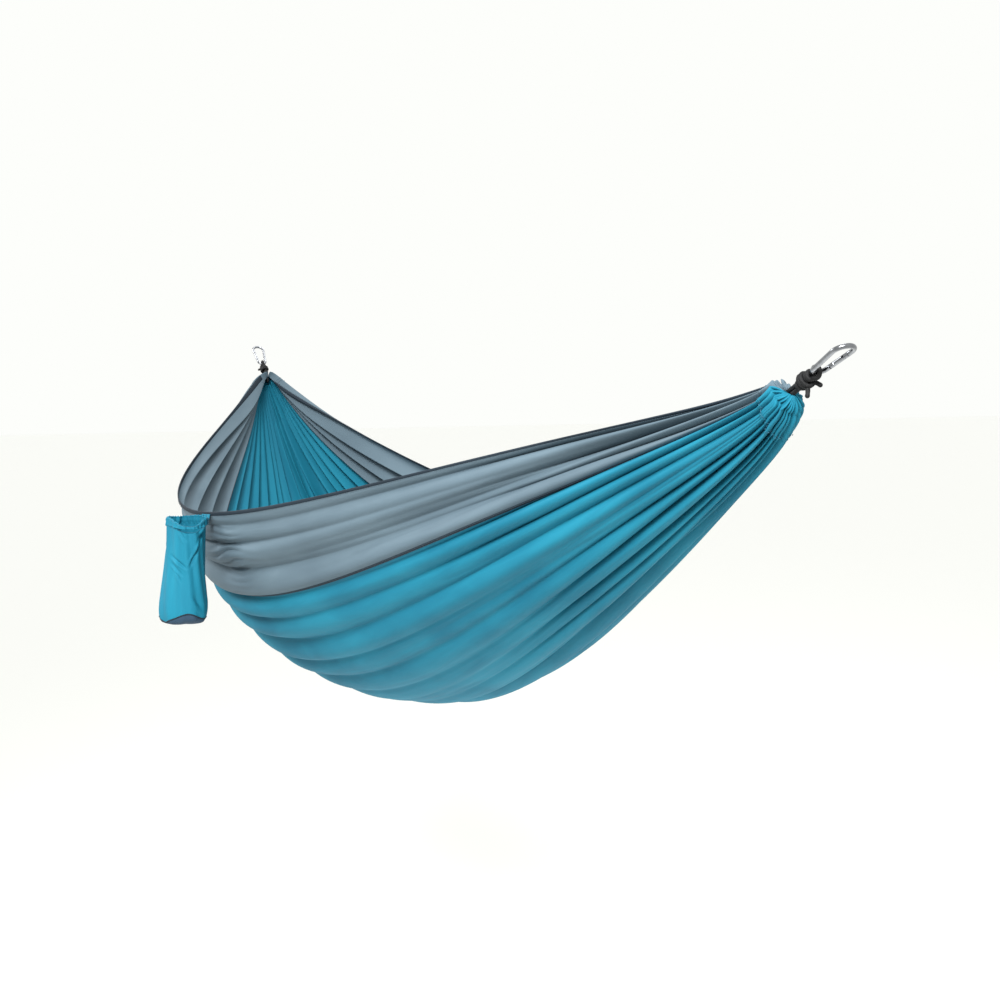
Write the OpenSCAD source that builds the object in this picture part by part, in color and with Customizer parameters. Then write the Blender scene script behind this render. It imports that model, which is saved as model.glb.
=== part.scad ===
// Camping hammock of parachute nylon, hung between two carabiners.
// Millimetres, +Z up. The origin is where the head carabiner is clipped in:
// the inside of its outer bend. +X runs from the foot end to the head end,
// and the stuff sack hangs on the -Y side.

/* [Cloth] */
// Distance between the two gathered ends
chord = 2150; // [2050:10:2250]
// Half width of the bed on the sack side
sack_side_w = 374; // [340:2:400]
// Half width of the bed on the plain side
plain_side_w = 334; // [310:2:380]
// Drop of the sack-side hem below the gathered ends
sack_side_drop = 246; // [220:2:270]
// Drop of the plain-side hem below the gathered ends
plain_side_drop = 256; // [220:2:280]
// Drop of the belly below the gathered ends
belly_drop = 663; // [600:1:720]
// How far the belly hangs over to the plain side
belly_lean = 112; // [60:2:130]
// Angle by which each wall turns in past upright at its hem
hem_tuck = 7.3; // [2:0.1:12]
// Place of each seam between the belly line (0) and the hem (1)
seam_place = 0.73; // [0.6:0.01:0.8]
// Lean of the belly's deepest point towards the foot
belly_shift = 0.78; // [0.4:0.01:0.85]
// Lean of each hem's lowest point towards the foot
hem_shift = 0.65; // [0.4:0.01:0.8]
// Fullness of the belly line along its length, 1 for a parabola
belly_power = 0.634; // [0.6:0.002:1]
// Fullness of the hem lines along their length, 1 for a parabola
hem_power = 1.11; // [0.9:0.01:1.2]
// Thickness of the cloth with its pleats lying flat
cloth_t = 2.4; // [1.6:0.1:3]
// Radius of the gathered bundle, to the middle of the cloth
bundle_r = 18; // [17:0.5:22]
// Thickness of the cloth where it is bunched in the bundle
bunch_t = 8; // [6:0.5:9]

/* [Rope] */
// Diameter of the black rope
rope_d = 5.5; // [5:0.1:5.6]
// Rise of the head rope above level
head_rise = 27; // [20:1:35]
// Rise of the foot rope above level
foot_rise = 43; // [30:1:50]
// Length of bare rope between the cloth and the knot
neck_l = 26; // [24:1:30]
// Length of the knot
knot_l = 30; // [28:0.5:32]

/* [Carabiner] */
// Diameter of the steel rod
rod_d = 6; // [5.8:0.1:6.2]
// Centre-line radius of the narrow bend, which holds the rope
narrow_r = 9; // [9:0.25:10]
// Centre-line radius of the wide bend, which is clipped in
wide_r = 13; // [12.5:0.25:14]
// Distance between the centres of the two bends
bend_gap = 41; // [40:0.5:44]
// Thickness of the flat tongues that enter the gate
tongue_t = 2.4; // [2:0.1:2.6]
// Radius of the gate's hinge pin
hinge_pin_r = 1; // [0.8:0.05:1.1]
// Radius of the cross pin that the gate latches on
latch_pin_r = 0.9; // [0.7:0.05:1]

/* [Stuff sack] */
// Place of the sack along the bed, from head (0) to foot (1)
sack_place = 0.595; // [0.55:0.005:0.68]
// Height of the sack
sack_h = 200; // [180:5:230]
// Length of the sack's oval along the hem
sack_l = 132; // [120:2:150]
// Depth of the sack's oval away from the hem
sack_d = 90; // [80:2:100]
// How much narrower the mouth is than the base
mouth_taper = 0.2; // [0:0.01:0.22]
// Thickness of the sack's cloth with its folds
sack_t = 1.6; // [1.2:0.1:2]

/* [Hidden] */
$fn = 48;

turquoise = "#3fa9c9";
grey = "#7d8a96";
rope_black = "#1c1d20";
steel = "#b9bcc0";

// The gathered ends, and the length of the hardware along each rope.
gap = 0.3;
rope_r = rope_d / 2;
rod_r = rod_d / 2;
bight_gap = 0.8;
bight_r = rod_r + bight_gap + rope_r;
knot_mid = neck_l + knot_l / 2;
bight_s = neck_l + knot_l + 4.5;
narrow_s = bight_s + narrow_r;
clip_s = narrow_s + bend_gap + wide_r - rod_r;
head_end = [-clip_s * cos(head_rise), 0, -clip_s * sin(head_rise)];
end_z = head_end[2];

// The bed's surface. t runs from the head (0) to the foot (1), and q across
// it, from the sack-side hem (-1) through the belly line (0) to the other (1).
bundle_spread = 150;
wall_angle = 90 + hem_tuck;
function rise_and_fall(t) = 4 * t * (1 - t);
function shift(q) = belly_shift + (hem_shift - belly_shift) * q * q;
function fullness(q) = belly_power + (hem_power - belly_power) * q * q;
function sag(t, q) = pow(max(rise_and_fall(t - shift(q) * t * (1 - t)), 0), fullness(q));
function bunch(t) = pow(1 - rise_and_fall(t), 6);
function half_w(q) = q < 0 ? sack_side_w : plain_side_w;
function hem_drop(q) = q < 0 ? sack_side_drop : plain_side_drop;
function wall_y(q) = sign(q) * half_w(q) * sin(abs(q) * wall_angle) / sin(wall_angle)
    + belly_lean * (1 - q * q);
function wall_drop(q) = hem_drop(q) + (belly_drop - hem_drop(q))
    * (cos(q * wall_angle) - cos(wall_angle)) / (1 - cos(wall_angle));
function bed(t, q) = [
    wall_y(q) * sag(t, q) + bundle_r * sin(q * bundle_spread) * bunch(t),
    -wall_drop(q) * sag(t, q) - bundle_r * cos(q * bundle_spread) * bunch(t)
];
probe = 0.004;
function outward(t, q) = let (d = bed(t, q + probe) - bed(t, q - probe)) [d[1], -d[0]] / norm(d);
function cloth_point(t, q, lift) = let (p = bed(t, q) + lift * outward(t, q))
    [head_end[0] - chord * t, p[0], end_z + p[1]];
function thick(t) = cloth_t + (bunch_t - cloth_t) * bunch(t);

// Stations along the bed, closer together towards the gathered ends.
stations = 48;
sleeve_stations = 3;
function along(i) = (1 - cos(180 * i / stations)) / 2;

// A closed sheet over the bed from q0 to q1 and from station i0 to i1. Its two
// faces lie at the given shares of the cloth's thickness plus fixed lifts.
module bed_sheet(q0, q1, cells, i0, i1, share_in, lift_in, share_out, lift_out) {
    rows = i1 - i0 + 1;
    cols = cells + 1;
    count = rows * cols;
    function at(i, j, share, lift) = let (t = along(i0 + i))
        cloth_point(t, q0 + (q1 - q0) * j / cells, share * thick(t) + lift);
    inner = [for (i = [0:rows - 1], j = [0:cells]) at(i, j, share_in, lift_in)];
    outer = [for (i = [0:rows - 1], j = [0:cells]) at(i, j, share_out, lift_out)];
    function n(i, j, side) = side * count + i * cols + j;
    function two(a, b, c, d) = [[a, b, c], [a, c, d]];
    faces = [
        for (i = [0:rows - 2], j = [0:cells - 1])
            each two(n(i, j, 0), n(i + 1, j, 0), n(i + 1, j + 1, 0), n(i, j + 1, 0)),
        for (i = [0:rows - 2], j = [0:cells - 1])
            each two(n(i, j, 1), n(i, j + 1, 1), n(i + 1, j + 1, 1), n(i + 1, j, 1)),
        for (i = [0:rows - 2])
            each two(n(i, 0, 1), n(i + 1, 0, 1), n(i + 1, 0, 0), n(i, 0, 0)),
        for (i = [0:rows - 2])
            each two(n(i, cells, 0), n(i + 1, cells, 0), n(i + 1, cells, 1), n(i, cells, 1)),
        for (j = [0:cells - 1])
            each two(n(0, j, 0), n(0, j + 1, 0), n(0, j + 1, 1), n(0, j, 1)),
        for (j = [0:cells - 1])
            each two(n(rows - 1, j, 1), n(rows - 1, j + 1, 1), n(rows - 1, j + 1, 0), n(rows - 1, j, 0))
    ];
    polyhedron(concat(inner, outer), faces);
}

panel_gap = 0.0008;
module panel(q0, q1, cells) {
    bed_sheet(q0 + panel_gap, q1 - panel_gap, cells, sleeve_stations, stations - sleeve_stations,
        -0.5, 0, 0.5, 0);
}
module centre_panel() {
    color(turquoise) panel(-seam_place, seam_place, 16);
}
module sack_side_panel() {
    color(grey) panel(-1, -seam_place, 5);
}
module plain_side_panel() {
    color(grey) panel(seam_place, 1, 5);
}

// Flat-felled seams lie on the outside of the two panels that they join.
seam_half = 0.009;
seam_t = 1.2;
module seam(q) {
    bed_sheet(q - seam_half, q + seam_half, 2, sleeve_stations, stations - sleeve_stations,
        0.5, gap, 0.5, gap + seam_t);
}
module sack_side_seam() {
    color(grey) seam(-seam_place);
}
module plain_side_seam() {
    color(grey) seam(seam_place);
}

// Rolled hems carry on from the panels' free edges.
hem_gap = 0.002;
hem_width = 0.017;
hem_extra = 0.8;
module hem(side) {
    edges = [side * (1 + hem_gap), side * (1 + hem_width)];
    bed_sheet(min(edges), max(edges), 2, sleeve_stations, stations - sleeve_stations,
        -0.5, -hem_extra, 0.5, hem_extra);
}
module sack_side_hem() {
    color(grey) hem(-1);
}
module plain_side_hem() {
    color(grey) hem(1);
}

// The end sleeves: the folded channels, bunched up around the rope.
sleeve_edge = 1 + hem_width;
sleeve_extra = 0.5;
module sleeve(i0, i1) {
    bed_sheet(-sleeve_edge, sleeve_edge, 36, i0, i1, -0.5, -sleeve_extra, 0.5, sleeve_extra);
}
module head_sleeve() {
    color(grey) translate([gap, 0, 0]) sleeve(0, sleeve_stations);
}
module foot_sleeve() {
    color(grey) translate([-gap, 0, 0]) sleeve(stations - sleeve_stations, stations);
}
stitch_t = 0.7;
module sleeve_stitching(i0, i1) {
    bed_sheet(-1, 1, 36, i0, i1, 0.5, gap + seam_t + gap, 0.5, gap + seam_t + gap + stitch_t);
}
module head_sleeve_stitching() {
    color(grey) sleeve_stitching(sleeve_stations - 1, sleeve_stations);
}
module foot_sleeve_stitching() {
    color(grey) sleeve_stitching(stations - sleeve_stations, stations - sleeve_stations + 1);
}

// Each end's hardware is drawn with x along its rope from the gathered end,
// y across the carabiner and z square to the carabiner's plane.
module at_head() {
    translate(head_end) rotate([0, -head_rise, 0]) children();
}
module at_foot() {
    translate([head_end[0] - chord, 0, end_z]) rotate([0, foot_rise, 0]) rotate([0, 0, 180]) children();
}

// A half ring of rope in the x-z plane, open towards -x.
module rope_turn(radius) {
    rotate([90, 0, 0]) rotate([0, 0, -90]) rotate_extrude(angle = 180) translate([radius, 0]) circle(rope_r);
}
module strands(x0, x1, half_apart) {
    for (side = [-1, 1])
        translate([x0, 0, side * half_apart]) rotate([0, 90, 0]) cylinder(r = rope_r, h = x1 - x0);
}
turn_s = -6;
neck_half = rope_r + 0.2;
knot_grip = 5;
module rope() {
    translate([turn_s, 0, 0]) mirror([1, 0, 0]) rope_turn(neck_half);
    strands(turn_s, neck_l + knot_grip, neck_half);
    translate([bight_s, 0, 0]) rope_turn(bight_r);
    strands(neck_l + knot_l - knot_grip, bight_s, bight_r);
}
module head_rope() {
    color(rope_black) at_head() rope();
}
module foot_rope() {
    color(rope_black) at_foot() rope();
}

// The knot: three turns drawn tight, and two cut tails.
wrap_r = 5.6;
wrap_out = 7.2;
wrap_pitch = (knot_l - 2 * wrap_r) / 2;
tail_l = 22;
module knot() {
    translate([knot_mid, 0, 0]) rotate([0, 90, 0]) rotate_extrude() intersection() {
        union() {
            for (turn = [-1:1]) translate([wrap_out, turn * wrap_pitch]) circle(wrap_r);
            translate([0, -knot_l / 2 + 2]) square([wrap_out, knot_l - 4]);
        }
        translate([0, -knot_l / 2]) square([2 * wrap_out + wrap_r, knot_l]);
    }
    for (tail = [[195, 10], [150, -30]])
        translate([knot_mid - 3, 0, 0]) rotate([tail[1], tail[0] - 15, 0])
            cylinder(r = rope_r, h = tail_l);
}
module head_knot() {
    color(rope_black) at_head() knot();
}
module foot_knot() {
    color(rope_black) at_foot() knot();
}

// The carabiner: a pear-shaped ring of steel rod. Its gate is in the +y leg.
lean = asin((wide_r - narrow_r) / bend_gap);
leg_l = bend_gap * cos(lean);
stub_l = 5.8;
hinge_g = 11;
latch_g = leg_l - 9.5;
nose_g = leg_l - 3.6;
tongue_r = rod_r - 0.3;
pin_half = rod_r - 0.2;
// Straight lengths are a hair thinner than the bends and run a little into them.
weld = 0.01;
weld_l = 0.3;
module on_gate_leg() {
    translate([narrow_s - narrow_r * sin(lean), narrow_r * cos(lean), 0]) rotate([0, 0, lean]) children();
}
module rod(x0, x1) {
    translate([x0, 0, 0]) rotate([0, 90, 0]) cylinder(r = rod_r - weld, h = x1 - x0);
}
module bend(radius, from, sweep) {
    rotate([0, 0, from]) rotate_extrude(angle = sweep) translate([radius, 0]) circle(rod_r);
}
module tongue(x_root, x_tip, thickness) {
    linear_extrude(thickness, center = true) union() {
        translate([min(x_root, x_tip), -tongue_r]) square([abs(x_tip - x_root), 2 * tongue_r]);
        translate([x_tip, 0]) circle(tongue_r);
    }
}
module cross_hole(x, radius) {
    translate([x, 0, 0]) cylinder(r = radius, h = 4 * rod_r, center = true);
}
module carabiner_frame() {
    translate([narrow_s, 0, 0]) bend(narrow_r, 90 + lean, 180 - 2 * lean);
    translate([narrow_s + bend_gap, 0, 0]) bend(wide_r, -90 - lean, 180 + 2 * lean);
    mirror([0, 1, 0]) on_gate_leg() rod(-weld_l, leg_l + weld_l);
    on_gate_leg() {
        rod(-weld_l, stub_l);
        rod(nose_g, leg_l + weld_l);
        difference() {
            tongue(stub_l - 1, hinge_g, tongue_t);
            cross_hole(hinge_g, hinge_pin_r + 0.01);
        }
        difference() {
            tongue(nose_g + 1, latch_g, tongue_t);
            cross_hole(latch_g, latch_pin_r + 0.01);
        }
    }
}

// The gate: a rod with a forked foot on the hinge pin, a bore for its spring,
// and a forked tip whose notches hook on the latch pin.
gate_start = hinge_g - 3.4;
gate_end = nose_g - 0.6;
fork_w = tongue_t + 2 * gap;
fork_depth = hinge_g + tongue_r + 0.5;
spring_bore_r = 1.6;
spring_start = fork_depth + 0.4;
spring_l = 10;
notch_half = 1.25;
module gate() {
    on_gate_leg() difference() {
        rod(gate_start, gate_end);
        translate([gate_start - 1, -rod_r - 1, -fork_w / 2])
            cube([fork_depth - gate_start + 1, 2 * rod_r + 2, fork_w]);
        translate([latch_g - tongue_r - 0.9, -rod_r - 1, -fork_w / 2])
            cube([gate_end, 2 * rod_r + 2, fork_w]);
        cross_hole(hinge_g, hinge_pin_r + 0.05);
        cross_hole(latch_g, notch_half);
        translate([latch_g - notch_half, 0, -2 * rod_r]) cube([2 * notch_half, 2 * rod_r, 4 * rod_r]);
        translate([fork_depth - 1, 0, 0]) rotate([0, 90, 0])
            cylinder(r = spring_bore_r, h = spring_start + spring_l + 1 - fork_depth);
    }
}
module hinge_pin() {
    on_gate_leg() translate([hinge_g, 0, 0]) cylinder(r = hinge_pin_r, h = 2 * pin_half, center = true);
}
module latch_pin() {
    on_gate_leg() translate([latch_g, 0, 0]) cylinder(r = latch_pin_r, h = 2 * pin_half, center = true);
}

// The gate spring: a wire of six sides carried round a helix, capped flat.
wire_r = 0.25;
coil_r = 1.15;
coil_turns = 6;
coil_steps = 14;
wire_sides = 6;
module gate_spring() {
    rings = coil_turns * coil_steps;
    function ring_point(i, j) = let (a = 360 * i / coil_steps, b = 360 * j / wire_sides)
        [spring_start + wire_r + (spring_l - 2 * wire_r) * i / rings + wire_r * sin(b),
            (coil_r + wire_r * cos(b)) * cos(a), (coil_r + wire_r * cos(b)) * sin(a)];
    points = [for (i = [0:rings], j = [0:wire_sides - 1]) ring_point(i, j)];
    function n(i, j) = i * wire_sides + j % wire_sides;
    faces = [
        [for (j = [0:wire_sides - 1]) n(0, j)],
        [for (j = [wire_sides - 1:-1:0]) n(rings, j)],
        for (i = [0:rings - 1], j = [0:wire_sides - 1])
            each [[n(i, j), n(i + 1, j), n(i + 1, j + 1)], [n(i, j), n(i + 1, j + 1), n(i, j + 1)]]
    ];
    on_gate_leg() polyhedron(points, faces);
}
module head_carabiner_frame() {
    color(steel) at_head() carabiner_frame();
}
module head_gate() {
    color(steel) at_head() gate();
}
module head_hinge_pin() {
    color(steel) at_head() hinge_pin();
}
module head_latch_pin() {
    color(steel) at_head() latch_pin();
}
module head_gate_spring() {
    color(steel) at_head() gate_spring();
}
module foot_carabiner_frame() {
    color(steel) at_foot() carabiner_frame();
}
module foot_gate() {
    color(steel) at_foot() gate();
}
module foot_hinge_pin() {
    color(steel) at_foot() hinge_pin();
}
module foot_latch_pin() {
    color(steel) at_foot() latch_pin();
}
module foot_gate_spring() {
    color(steel) at_foot() gate_spring();
}

// The stuff sack hangs from the sack-side hem, drawn with its origin at the
// hem, z down its height as a negative number and -y away from the bed.
sack_clear = 5;
sack_hem_point = cloth_point(sack_place, -1, 0);
mouth_h = 18;
mouth_extra = 0.9;
base_drop = 12;
base_t = 2;
module at_sack() {
    translate([sack_hem_point[0], sack_hem_point[1] - sack_clear, sack_hem_point[2]]) children();
}
// The oval's half axes grow from the mouth down to the base.
function sack_grow(z) = 1 - mouth_taper * (1 + z / sack_h);
function sack_ring(z, inset, steps) = [for (k = [0:steps - 1]) let (a = 360 * k / steps)
    [(sack_l / 2 * sack_grow(z) - inset) * cos(a),
        -sack_d / 2 * sack_grow(z) + (sack_d / 2 * sack_grow(z) - inset) * sin(a), z]];
oval_steps = 40;
// A tube between two heights, with walls from one inset to another.
module sack_tube(z_top, z_bottom, inset_out, inset_in, levels) {
    function level(i) = z_top + (z_bottom - z_top) * i / levels;
    outer = [for (i = [0:levels]) each sack_ring(level(i), inset_out, oval_steps)];
    inner = [for (i = [0:levels]) each sack_ring(level(i), inset_in, oval_steps)];
    count = (levels + 1) * oval_steps;
    function n(i, k, side) = side * count + i * oval_steps + k % oval_steps;
    function two(a, b, c, d) = [[a, b, c], [a, c, d]];
    steps = [0:oval_steps - 1];
    faces = [
        for (i = [0:levels - 1], k = steps)
            each two(n(i, k, 0), n(i, k + 1, 0), n(i + 1, k + 1, 0), n(i + 1, k, 0)),
        for (i = [0:levels - 1], k = steps)
            each two(n(i, k, 1), n(i + 1, k, 1), n(i + 1, k + 1, 1), n(i, k + 1, 1)),
        for (k = steps)
            each two(n(0, k, 0), n(0, k, 1), n(0, k + 1, 1), n(0, k + 1, 0)),
        for (k = steps)
            each two(n(levels, k, 0), n(levels, k + 1, 0), n(levels, k + 1, 1), n(levels, k, 1))
    ];
    polyhedron(concat(outer, inner), faces);
}
module sack_body() {
    color(turquoise) at_sack() sack_tube(-mouth_h - gap, -sack_h + base_drop, mouth_extra, mouth_extra + sack_t, 7);
}
module sack_mouth_hem() {
    color(turquoise) at_sack() sack_tube(0, -mouth_h, 0, sack_t + 2 * mouth_extra, 1);
}
module sack_base_binding() {
    color(grey) at_sack()
        sack_tube(-sack_h + base_drop - gap, -sack_h + base_drop - 4, 0, sack_t + 2 * mouth_extra, 1);
}
// The round base sags into a shallow dish below its binding.
module sack_base() {
    rings = 5;
    top_z = -sack_h + base_drop - 4 - gap;
    dish = base_drop - 4 - gap - base_t;
    function dish_ring(i, lift) = let (u = i / rings)
        [for (p = sack_ring(top_z, mouth_extra, oval_steps)) let (c = -sack_d / 2 * sack_grow(top_z))
            [p[0] * u, c + (p[1] - c) * u, top_z - dish * (1 - u * u) - lift]];
    function hub(lift) = [0, -sack_d / 2 * sack_grow(top_z), top_z - dish - lift];
    upper = [for (i = [1:rings]) each dish_ring(i, 0)];
    lower = [for (i = [1:rings]) each dish_ring(i, base_t)];
    count = rings * oval_steps;
    function n(i, k, side) = side * count + (i - 1) * oval_steps + k % oval_steps;
    function two(a, b, c, d) = [[a, b, c], [a, c, d]];
    steps = [0:oval_steps - 1];
    faces = [
        for (k = steps) [2 * count, n(1, k + 1, 0), n(1, k, 0)],
        for (k = steps) [2 * count + 1, n(1, k, 1), n(1, k + 1, 1)],
        for (i = [1:rings - 1], k = steps)
            each two(n(i, k, 0), n(i, k + 1, 0), n(i + 1, k + 1, 0), n(i + 1, k, 0)),
        for (i = [1:rings - 1], k = steps)
            each two(n(i, k, 1), n(i + 1, k, 1), n(i + 1, k + 1, 1), n(i, k + 1, 1)),
        for (k = steps) each two(n(rings, k, 0), n(rings, k + 1, 0), n(rings, k + 1, 1), n(rings, k, 1))
    ];
    color(grey) at_sack() polyhedron(concat(upper, lower, [hub(0), hub(base_t)]), faces);
}
// Two bar tacks sew the back of the mouth to the hem.
tack_l = 14;
tack_w = 1.6;
tack_half = 0.3;
module sack_tacks() {
    color(grey) at_sack() for (side = [-1, 1])
        translate([side * tack_half * sack_l / 2 - tack_l / 2, gap, -mouth_h + 4])
            cube([tack_l, tack_w, mouth_h - 6]);
}

centre_panel();
sack_side_panel();
plain_side_panel();
sack_side_seam();
plain_side_seam();
sack_side_hem();
plain_side_hem();
head_sleeve();
foot_sleeve();
head_sleeve_stitching();
foot_sleeve_stitching();
head_rope();
foot_rope();
head_knot();
foot_knot();
head_carabiner_frame();
head_gate();
head_hinge_pin();
head_latch_pin();
head_gate_spring();
foot_carabiner_frame();
foot_gate();
foot_hinge_pin();
foot_latch_pin();
foot_gate_spring();
sack_body();
sack_mouth_hem();
sack_base();
sack_base_binding();
sack_tacks();
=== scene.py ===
"""A camping hammock of parachute nylon, gathered on rope at both ends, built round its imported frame."""
import bpy
import numpy as np
from mathutils import Matrix


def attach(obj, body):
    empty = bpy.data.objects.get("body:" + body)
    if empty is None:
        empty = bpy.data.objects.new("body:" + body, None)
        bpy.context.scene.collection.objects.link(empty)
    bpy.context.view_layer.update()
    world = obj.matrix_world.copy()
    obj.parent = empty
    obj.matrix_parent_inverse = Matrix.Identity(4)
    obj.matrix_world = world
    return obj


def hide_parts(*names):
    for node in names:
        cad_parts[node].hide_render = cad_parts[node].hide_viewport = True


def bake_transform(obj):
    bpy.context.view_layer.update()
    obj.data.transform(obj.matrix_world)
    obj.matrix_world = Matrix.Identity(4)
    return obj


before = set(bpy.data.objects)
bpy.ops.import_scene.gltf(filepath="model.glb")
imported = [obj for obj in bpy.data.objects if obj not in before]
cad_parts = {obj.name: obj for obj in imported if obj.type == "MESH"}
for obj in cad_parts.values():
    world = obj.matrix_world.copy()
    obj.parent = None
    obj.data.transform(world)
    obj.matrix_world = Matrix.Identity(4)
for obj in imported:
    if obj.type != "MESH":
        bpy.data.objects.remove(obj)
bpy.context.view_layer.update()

# The part's own driving dimensions, in metres, the same as its solid model's.
CHORD = 2.150
SACK_SIDE_W, PLAIN_SIDE_W = 0.374, 0.334
SACK_SIDE_DROP, PLAIN_SIDE_DROP = 0.246, 0.256
BELLY_DROP, BELLY_LEAN = 0.663, 0.112
WALL_ANGLE = np.radians(97.3)
SEAM_PLACE = 0.73
BELLY_SHIFT, HEM_SHIFT = 0.78, 0.65
BELLY_POWER, HEM_POWER = 0.634, 1.11
BUNDLE_R, BUNDLE_SPREAD, BUNDLE_CLOSE = 0.018, np.radians(150), np.radians(27)
SLEEVE_END = (1 - np.cos(np.pi * 3 / 48)) / 2
ROPE_R, ROD_R = 0.00275, 0.003
NECK_L, KNOT_L = 0.026, 0.030
BIGHT_S = NECK_L + KNOT_L + 0.0045
CLIP_S = BIGHT_S + 0.009 + 0.041 + 0.013 - ROD_R
HEAD_RISE, FOOT_RISE = np.radians(27), np.radians(43)
SACK_H, SACK_L, SACK_D, MOUTH_TAPER, SACK_CLEAR = 0.200, 0.132, 0.090, 0.25, 0.005
SACK_PLACE = 0.595
HEAD_END = np.array([-CLIP_S * np.cos(HEAD_RISE), 0.0, -CLIP_S * np.sin(HEAD_RISE)])
FOOT_END = HEAD_END - np.array([CHORD, 0.0, 0.0])

# The cloth before it was gathered: two side panels and a centre panel.
FLAT_W, FLAT_L = 1.40, 2.70


# ---------------------------------------------------------------- meshes

def mesh_piece(name, verts, faces, uv=None, smooth=True):
    """A mesh object from arrays of corners and faces, with a UV map in metres if uv gives one point per
    corner."""
    mesh = bpy.data.meshes.new(name)
    mesh.from_pydata(verts.tolist(), [], faces)
    if uv is not None:
        layer = mesh.uv_layers.new(name="UVMap")
        loops = np.empty(len(mesh.loops), dtype=np.int32)
        mesh.loops.foreach_get("vertex_index", loops)
        layer.data.foreach_set("uv", uv[loops].astype(np.float32).ravel())
    mesh.polygons.foreach_set("use_smooth", np.full(len(mesh.polygons), smooth))
    mesh.update()
    piece = bpy.data.objects.new(name, mesh)
    bpy.context.scene.collection.objects.link(piece)
    return piece


def grid_quads(rows, cols, round_rows=False, round_cols=False):
    """The quads of a rows by cols grid of corners, joined round in either direction if asked."""
    i = np.arange(rows if round_rows else rows - 1)[:, None]
    j = np.arange(cols if round_cols else cols - 1)[None, :]
    k, l = (i + 1) % rows, (j + 1) % cols
    return np.stack([i * cols + j, k * cols + j, k * cols + l, i * cols + l], -1).reshape(-1, 4)


def grid_piece(name, points, uv=None, round_rows=False, round_cols=False, flip=False, poles=0):
    """A piece from a (rows, cols, 3) array of points, its faces turned over if flip is true. With poles 1
    the last row closes on its middle, and with poles 2 the first does too. Faces look along the cross
    product of the rows' and the columns' way."""
    rows, cols = points.shape[:2]
    quads = grid_quads(rows, cols, round_rows, round_cols)
    verts = points.reshape(-1, 3)
    flat_uv = None if uv is None else uv.reshape(-1, 2)
    faces = quads.tolist()
    if poles:
        j = np.arange(cols)
        k = (j + 1) % cols
        last, first = np.full(cols, rows * cols), np.full(cols, rows * cols + 1)
        end = (rows - 1) * cols
        faces += np.stack([last, end + k, end + j], -1).tolist()
        if poles == 2:
            faces += np.stack([first, j, k], -1).tolist()
        verts = np.concatenate([verts] + [points[row].mean(0)[None] for row in (-1, 0)[:poles]])
        if uv is not None:
            flat_uv = np.concatenate([flat_uv] + [uv[row].mean(0)[None] for row in (-1, 0)[:poles]])
    if flip:
        faces = [face[::-1] for face in faces]
    return mesh_piece(name, verts, faces, flat_uv)


def give_wall(piece, thickness, side=0.0):
    """A Solidify wall, half on each side of the surface unless side says otherwise."""
    wall = piece.modifiers.new("Wall", "SOLIDIFY")
    wall.thickness = thickness
    wall.offset = side
    wall.use_even_offset = False


def unit(v):
    """Each vector of an array divided by its length."""
    return v / np.maximum(np.linalg.norm(v, axis=-1, keepdims=True), 1e-12)


def wander(x, seed, waves, size):
    """A smooth random curve: six sines of x, of rising pitch up to waves and of falling height."""
    rng = np.random.default_rng(seed)
    k = np.linspace(1, waves, 6)
    phase = rng.uniform(0, 2 * np.pi, 6)
    weight = rng.uniform(0.6, 1.0, 6) / k
    total = sum(w * np.sin(f * x + p) for f, p, w in zip(k, phase, weight))
    return size * total / weight.sum()


# ---------------------------------------------------------------- the bed's surface

def bed(t, q):
    """The smooth bed. t runs from the head, 0, to the foot, 1, and q across it from the sack-side hem,
    -1, through the belly line to the plain-side hem, 1. Each wall is a quarter oval from the belly up
    to its hem, scaled by (4s(1-s))^p along the length, where s is t with its middle moved towards the
    foot. At both ends a small ring of the bundle's radius takes over, and its two hems close up on
    top."""
    t, q = np.broadcast_arrays(np.asarray(t, float), np.asarray(q, float))
    shift = BELLY_SHIFT + (HEM_SHIFT - BELLY_SHIFT) * q * q
    power = BELLY_POWER + (HEM_POWER - BELLY_POWER) * q * q
    s = t - shift * t * (1 - t)
    sag = np.maximum(4 * s * (1 - s), 1e-9) ** power
    bunch = (1 - 4 * t * (1 - t)) ** 6
    spread = BUNDLE_SPREAD + BUNDLE_CLOSE * np.clip((bunch - 0.75) / 0.25, 0, 1)
    half_w = np.where(q < 0, SACK_SIDE_W, PLAIN_SIDE_W)
    drop = np.where(q < 0, SACK_SIDE_DROP, PLAIN_SIDE_DROP)
    y = np.sign(q) * half_w * np.sin(abs(q) * WALL_ANGLE) / np.sin(WALL_ANGLE) + BELLY_LEAN * (1 - q * q)
    lift = (np.cos(q * WALL_ANGLE) - np.cos(WALL_ANGLE)) / (1 - np.cos(WALL_ANGLE))
    z = drop + (BELLY_DROP - drop) * lift
    return np.stack([
        HEAD_END[0] - CHORD * t,
        y * sag + BUNDLE_R * np.sin(q * spread) * bunch,
        HEAD_END[2] - z * sag - BUNDLE_R * np.cos(q * spread) * bunch,
    ], -1)


def bed_width(t):
    """The bed's arc length across, from hem to hem, at each place along it."""
    line = bed(np.atleast_1d(t)[:, None], np.linspace(-1, 1, 241)[None, :])
    return np.linalg.norm(np.diff(line[..., 1:], axis=1), axis=-1).sum(1)


T_TABLE = (1 - np.cos(np.linspace(0, np.pi, 241))) / 2
WIDTH_TABLE = bed_width(T_TABLE)

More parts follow.
